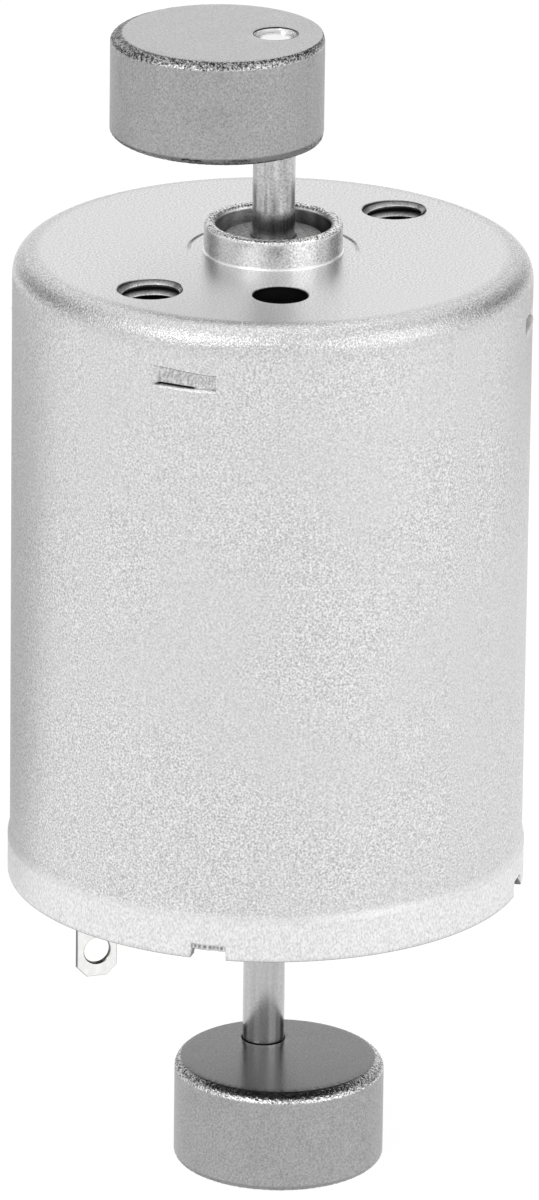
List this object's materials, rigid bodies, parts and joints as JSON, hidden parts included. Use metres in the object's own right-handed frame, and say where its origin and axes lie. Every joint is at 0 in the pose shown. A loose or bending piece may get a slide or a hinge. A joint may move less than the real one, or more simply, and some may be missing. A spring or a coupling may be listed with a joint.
{
  "type": "vibration motor",
  "caption": "Small brushed DC vibration motor: steel can with screw holes in its face, and a shaft out of both ends with an eccentric disc weight on each.",
  "frame": {"origin": "centre of the can's front face, on the shaft's axis", "axes": "+Z along the shaft, out of the front face; +X along the line of the two screw holes; +Y completes a right-handed frame"},
  "size_m": [0.0246, 0.0246, 0.0552],
  "materials": {
    "zinc_plated_steel": "satin",
    "sintered_iron": "satin",
    "ferrite": "matte",
    "spring_steel": "satin",
    "black_nylon": "satin",
    "tinned_brass": "satin",
    "phosphor_bronze": "satin",
    "carbon_graphite": "matte",
    "ground_steel": "polished",
    "natural_nylon": "satin",
    "turned_brass": "satin",
    "epoxy_paper": "satin",
    "electrical_steel": "satin",
    "enamelled_copper": "gloss",
    "phenolic": "gloss",
    "copper": "satin",
    "varistor_ceramic": "matte",
    "sintered_steel": "satin"
  },
  "bodies": {
    "stator": {"can": "zinc_plated_steel", "front_bearing": "sintered_iron", "magnet_a": "ferrite", "magnet_b": "ferrite", "magnet_spring_a": "spring_steel", "magnet_spring_b": "spring_steel", "end_cap": "black_nylon", "rear_bearing": "sintered_iron", "terminal_a": "tinned_brass", "terminal_b": "tinned_brass", "brush_arm_a": "phosphor_bronze", "brush_arm_b": "phosphor_bronze", "brush_a": "carbon_graphite", "brush_b": "carbon_graphite"},
    "rotor": {"shaft": "ground_steel", "front_thrust_washer": "natural_nylon", "front_spacer": "turned_brass", "front_insulator": "epoxy_paper", "armature_core": "electrical_steel", "rear_insulator": "epoxy_paper", "armature_windings": "enamelled_copper", "commutator_hub": "phenolic", "commutator_segments": "copper", "varistor_ring": "varistor_ceramic", "rear_thrust_washer": "natural_nylon", "front_weight": "sintered_steel", "rear_weight": "sintered_steel"}
  },
  "joints": [
    {"name": "rotor_spin", "type": "hinge", "parent": "stator", "child": "rotor", "pos_m": [0, 0, 0], "axis": [0, 0, 1], "continuous": true}
  ]
}
